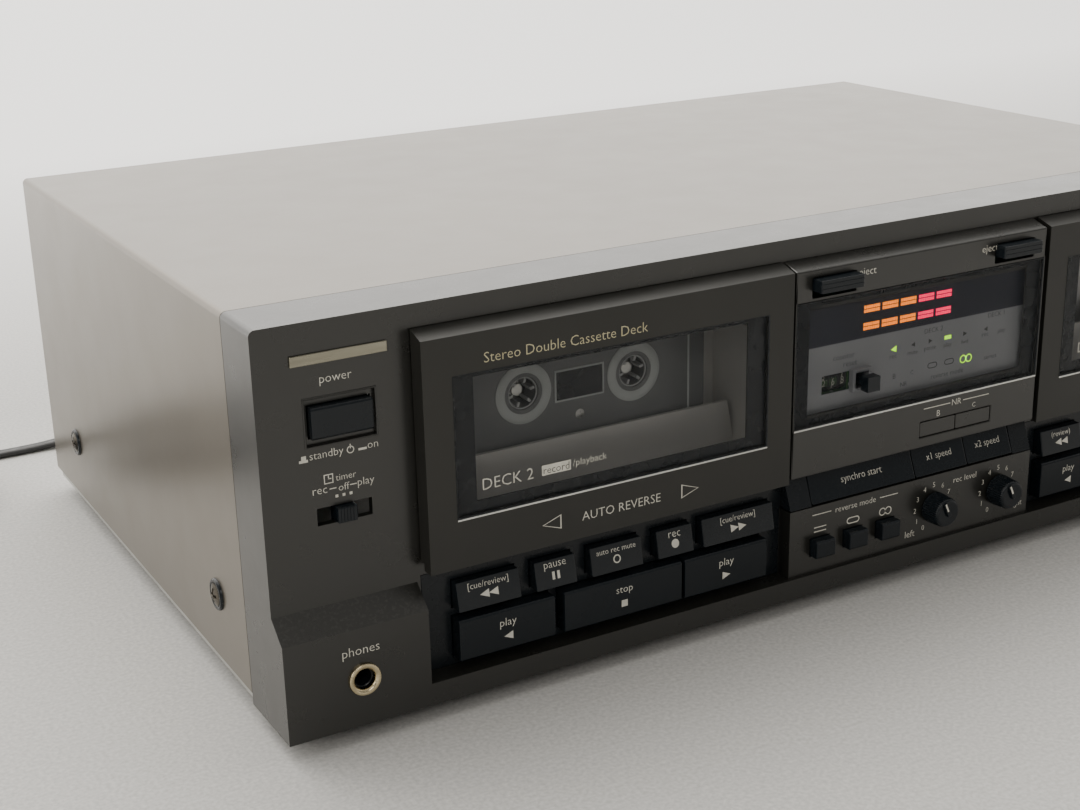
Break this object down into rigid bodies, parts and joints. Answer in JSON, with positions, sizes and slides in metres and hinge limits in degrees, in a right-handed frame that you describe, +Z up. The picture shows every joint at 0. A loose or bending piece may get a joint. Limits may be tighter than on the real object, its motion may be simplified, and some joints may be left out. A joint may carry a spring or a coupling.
{
  "type": "stereo double cassette deck",
  "caption": "Full-width hi-fi cassette deck with hinged tape doors, a meter display, push keys, level knobs, reel mechanisms and a mains lead.",
  "frame": {"origin": "middle of the footprint, on the surface that the feet stand on", "axes": "+X to the right seen from the front, -Y out of the front panel, +Z up"},
  "size_m": [0.5493, 0.33, 0.136],
  "materials": {
    "cover_paint": "satin metallic paint, dark grey-bronze",
    "plated_steel": "dull zinc plate",
    "front_moulding": "fine matte charcoal paint on a moulding",
    "gloss_keys": "glossy blue-black",
    "smoked_window": "tinted clear acrylic",
    "circuit_board": "green board lacquer",
    "bright_metal": "bright plating",
    "rubber_feet": "matte rubber",
    "screw_black": "black oxide",
    "cord_rubber": "soft black sheath",
    "cassette_shell": "grey moulded shell",
    "counter_digits": "printed number wheel"
  },
  "bodies": {
    "casing": {"top_cover": "cover_paint", "bottom_chassis": "plated_steel", "rear_panel": "plated_steel", "front_panel": "front_moulding", "key_bezel": "gloss_keys", "centre_fascia": "front_moulding", "display_window": "smoked_window", "display_board": "circuit_board", "main_board": "circuit_board", "line_sockets": "bright_metal", "phones_socket": "bright_metal", "mechanism_frames": "plated_steel", "feet": "rubber_feet", "cover_screws": "screw_black", "strain_relief": "cord_rubber", "mains_cord": "cord_rubber", "cord_coil": "cord_rubber", "mains_plug": "cord_rubber"},
    "door_2": {"cassette_door_2": "front_moulding", "door_window_2": "smoked_window", "cassette": "cassette_shell"},
    "door_1": {"cassette_door_1": "front_moulding", "door_window_1": "smoked_window"},
    "power_button": {"power_button": "gloss_keys"},
    "timer_slider": {"timer_slider": "gloss_keys"},
    "eject_lever_2": {"eject_lever_2": "gloss_keys"},
    "eject_lever_1": {"eject_lever_1": "gloss_keys"},
    "counter_reset_button": {"counter_reset_button": "gloss_keys"},
    "nr_b_key": {"nr_b_key": "front_moulding"},
    "nr_c_key": {"nr_c_key": "front_moulding"},
    "synchro_start_key": {"synchro_start_key": "gloss_keys"},
    "speed_x1_key": {"speed_x1_key": "gloss_keys"},
    "speed_x2_key": {"speed_x2_key": "gloss_keys"},
    "reverse_one_side_key": {"reverse_one_side_key": "gloss_keys"},
    "reverse_both_sides_key": {"reverse_both_sides_key": "gloss_keys"},
    "reverse_loop_key": {"reverse_loop_key": "gloss_keys"},
    "level_knob_left": {"level_knob_left": "gloss_keys"},
    "level_knob_right": {"level_knob_right": "gloss_keys"},
    "rewind_key_2": {"rewind_key_2": "gloss_keys"},
    "pause_key_2": {"pause_key_2": "gloss_keys"},
    "rec_mute_key_2": {"rec_mute_key_2": "gloss_keys"},
    "record_key_2": {"record_key_2": "gloss_keys"},
    "forward_key_2": {"forward_key_2": "gloss_keys"},
    "play_reverse_key_2": {"play_reverse_key_2": "gloss_keys"},
    "stop_key_2": {"stop_key_2": "gloss_keys"},
    "play_forward_key_2": {"play_forward_key_2": "gloss_keys"},
    "rewind_key_1": {"rewind_key_1": "gloss_keys"},
    "forward_key_1": {"forward_key_1": "gloss_keys"},
    "play_reverse_key_1": {"play_reverse_key_1": "gloss_keys"},
    "stop_key_1": {"stop_key_1": "gloss_keys"},
    "play_forward_key_1": {"play_forward_key_1": "gloss_keys"},
    "spindle_left_2": {"spindle_left_2": "plated_steel"},
    "spindle_right_2": {"spindle_right_2": "plated_steel"},
    "flywheel_2": {"flywheel_2": "plated_steel"},
    "head_plate_2": {"head_plate_2": "plated_steel"},
    "spindle_left_1": {"spindle_left_1": "plated_steel"},
    "spindle_right_1": {"spindle_right_1": "plated_steel"},
    "flywheel_1": {"flywheel_1": "plated_steel"},
    "head_plate_1": {"head_plate_1": "plated_steel"},
    "counter_wheel": {"counter_wheel": "counter_digits"}
  },
  "joints": [
    {"name": "door_2_hinge", "type": "hinge", "parent": "casing", "child": "door_2", "pos_m": [-0.0958, -0.12, 0.0525], "axis": [1, 0, 0], "range_deg": [0, 26]},
    {"name": "door_1_hinge", "type": "hinge", "parent": "casing", "child": "door_1", "pos_m": [0.15, -0.12, 0.0525], "axis": [1, 0, 0], "range_deg": [0, 26]},
    {"name": "power_press", "type": "slide", "parent": "casing", "child": "power_button", "axis": [0, 1, 0], "range_m": [0, 0.003], "stiffness_N_per_m": 400, "springref_m": -0.0015},
    {"name": "timer_slide", "type": "slide", "parent": "casing", "child": "timer_slider", "axis": [1, 0, 0], "range_m": [-0.0055, 0.0055]},
    {"name": "eject_2_press", "type": "slide", "parent": "casing", "child": "eject_lever_2", "axis": [0, 0, -1], "range_m": [0, 0.0022], "stiffness_N_per_m": 400, "springref_m": -0.0015},
    {"name": "eject_1_press", "type": "slide", "parent": "casing", "child": "eject_lever_1", "axis": [0, 0, -1], "range_m": [0, 0.0022], "stiffness_N_per_m": 400, "springref_m": -0.0015},
    {"name": "counter_reset_press", "type": "slide", "parent": "casing", "child": "counter_reset_button", "axis": [0, 1, 0], "range_m": [0, 0.0025], "stiffness_N_per_m": 400, "springref_m": -0.0015},
    {"name": "nr_b_press", "type": "slide", "parent": "casing", "child": "nr_b_key", "axis": [0, 1, 0], "range_m": [0, 0.0015], "stiffness_N_per_m": 400, "springref_m": -0.0015},
    {"name": "nr_c_press", "type": "slide", "parent": "casing", "child": "nr_c_key", "axis": [0, 1, 0], "range_m": [0, 0.0015], "stiffness_N_per_m": 400, "springref_m": -0.0015},
    {"name": "synchro_start_press", "type": "slide", "parent": "casing", "child": "synchro_start_key", "axis": [0, 1, 0], "range_m": [0, 0.0025], "stiffness_N_per_m": 400, "springref_m": -0.0015},
    {"name": "speed_x1_press", "type": "slide", "parent": "casing", "child": "speed_x1_key", "axis": [0, 1, 0], "range_m": [0, 0.0025], "stiffness_N_per_m": 400, "springref_m": -0.0015},
    {"name": "speed_x2_press", "type": "slide", "parent": "casing", "child": "speed_x2_key", "axis": [0, 1, 0], "range_m": [0, 0.0025], "stiffness_N_per_m": 400, "springref_m": -0.0015},
    {"name": "reverse_one_side_press", "type": "slide", "parent": "casing", "child": "reverse_one_side_key", "axis": [0, 1, 0], "range_m": [0, 0.003], "stiffness_N_per_m": 400, "springref_m": -0.0015},
    {"name": "reverse_both_sides_press", "type": "slide", "parent": "casing", "child": "reverse_both_sides_key", "axis": [0, 1, 0], "range_m": [0, 0.003], "stiffness_N_per_m": 400, "springref_m": -0.0015},
    {"name": "reverse_loop_press", "type": "slide", "parent": "casing", "child": "reverse_loop_key", "axis": [0, 1, 0], "range_m": [0, 0.003], "stiffness_N_per_m": 400, "springref_m": -0.0015},
    {"name": "level_left_turn", "type": "hinge", "parent": "casing", "child": "level_knob_left", "pos_m": [0.042, -0.132, 0.0265], "axis": [0, 1, 0], "range_deg": [-125, 175]},
    {"name": "level_right_turn", "type": "hinge", "parent": "casing", "child": "level_knob_right", "pos_m": [0.074, -0.132, 0.0265], "axis": [0, 1, 0], "range_deg": [-125, 175]},
    {"name": "rewind_key_2_press", "type": "slide", "parent": "casing", "child": "rewind_key_2", "axis": [0, 1, 0], "range_m": [0, 0.0025], "stiffness_N_per_m": 400, "springref_m": -0.0015},
    {"name": "pause_key_2_press", "type": "slide", "parent": "casing", "child": "pause_key_2", "axis": [0, 1, 0], "range_m": [0, 0.0025], "stiffness_N_per_m": 400, "springref_m": -0.0015},
    {"name": "rec_mute_key_2_press", "type": "slide", "parent": "casing", "child": "rec_mute_key_2", "axis": [0, 1, 0], "range_m": [0, 0.0025], "stiffness_N_per_m": 400, "springref_m": -0.0015},
    {"name": "record_key_2_press", "type": "slide", "parent": "casing", "child": "record_key_2", "axis": [0, 1, 0], "range_m": [0, 0.0025], "stiffness_N_per_m": 400, "springref_m": -0.0015},
    {"name": "forward_key_2_press", "type": "slide", "parent": "casing", "child": "forward_key_2", "axis": [0, 1, 0], "range_m": [0, 0.0025], "stiffness_N_per_m": 400, "springref_m": -0.0015},
    {"name": "play_reverse_key_2_press", "type": "slide", "parent": "casing", "child": "play_reverse_key_2", "axis": [0, 1, 0], "range_m": [0, 0.0025], "stiffness_N_per_m": 400, "springref_m": -0.0015},
    {"name": "stop_key_2_press", "type": "slide", "parent": "casing", "child": "stop_key_2", "axis": [0, 1, 0], "range_m": [0, 0.0025], "stiffness_N_per_m": 400, "springref_m": -0.0015},
    {"name": "play_forward_key_2_press", "type": "slide", "parent": "casing", "child": "play_forward_key_2", "axis": [0, 1, 0], "range_m": [0, 0.0025], "stiffness_N_per_m": 400, "springref_m": -0.0015},
    {"name": "rewind_key_1_press", "type": "slide", "parent": "casing", "child": "rewind_key_1", "axis": [0, 1, 0], "range_m": [0, 0.0025], "stiffness_N_per_m": 400, "springref_m": -0.0015},
    {"name": "forward_key_1_press", "type": "slide", "parent": "casing", "child": "forward_key_1", "axis": [0, 1, 0], "range_m": [0, 0.0025], "stiffness_N_per_m": 400, "springref_m": -0.0015},
    {"name": "play_reverse_key_1_press", "type": "slide", "parent": "casing", "child": "play_reverse_key_1", "axis": [0, 1, 0], "range_m": [0, 0.0025], "stiffness_N_per_m": 400, "springref_m": -0.0015},
    {"name": "stop_key_1_press", "type": "slide", "parent": "casing", "child": "stop_key_1", "axis": [0, 1, 0], "range_m": [0, 0.0025], "stiffness_N_per_m": 400, "springref_m": -0.0015},
    {"name": "play_forward_key_1_press", "type": "slide", "parent": "casing", "child": "play_forward_key_1", "axis": [0, 1, 0], "range_m": [0, 0.0025], "stiffness_N_per_m": 400, "springref_m": -0.0015},
    {"name": "spindle_left_2_spin", "type": "hinge", "parent": "casing", "child": "spindle_left_2", "pos_m": [-0.11705, -0.097, 0.094], "axis": [0, 1, 0], "continuous": true},
    {"name": "spindle_right_2_spin", "type": "hinge", "parent": "casing", "child": "spindle_right_2", "pos_m": [-0.07455, -0.097, 0.094], "axis": [0, 1, 0], "continuous": true},
    {"name": "flywheel_2_spin", "type": "hinge", "parent": "casing", "child": "flywheel_2", "pos_m": [-0.1188, -0.091, 0.068], "axis": [0, 1, 0], "continuous": true},
    {"name": "head_2_lift", "type": "slide", "parent": "casing", "child": "head_plate_2", "axis": [0, 0, 1], "range_m": [0, 0.004], "stiffness_N_per_m": 300, "springref_m": -0.003},
    {"name": "spindle_left_1_spin", "type": "hinge", "parent": "casing", "child": "spindle_left_1", "pos_m": [0.12875, -0.097, 0.094], "axis": [0, 1, 0], "continuous": true},
    {"name": "spindle_right_1_spin", "type": "hinge", "parent": "casing", "child": "spindle_right_1", "pos_m": [0.17125, -0.097, 0.094], "axis": [0, 1, 0], "continuous": true},
    {"name": "flywheel_1_spin", "type": "hinge", "parent": "casing", "child": "flywheel_1", "pos_m": [0.127, -0.091, 0.068], "axis": [0, 1, 0], "continuous": true},
    {"name": "head_1_lift", "type": "slide", "parent": "casing", "child": "head_plate_1", "axis": [0, 0, 1], "range_m": [0, 0.004], "stiffness_N_per_m": 300, "springref_m": -0.003},
    {"name": "counter_spin", "type": "hinge", "parent": "casing", "child": "counter_wheel", "pos_m": [-0.0008, -0.1236, 0.0826], "axis": [1, 0, 0], "continuous": true}
  ],
  "couplings": [
    {"joint": "counter_spin", "follows": "spindle_right_2_spin", "ratio": 0.35}
  ]
}
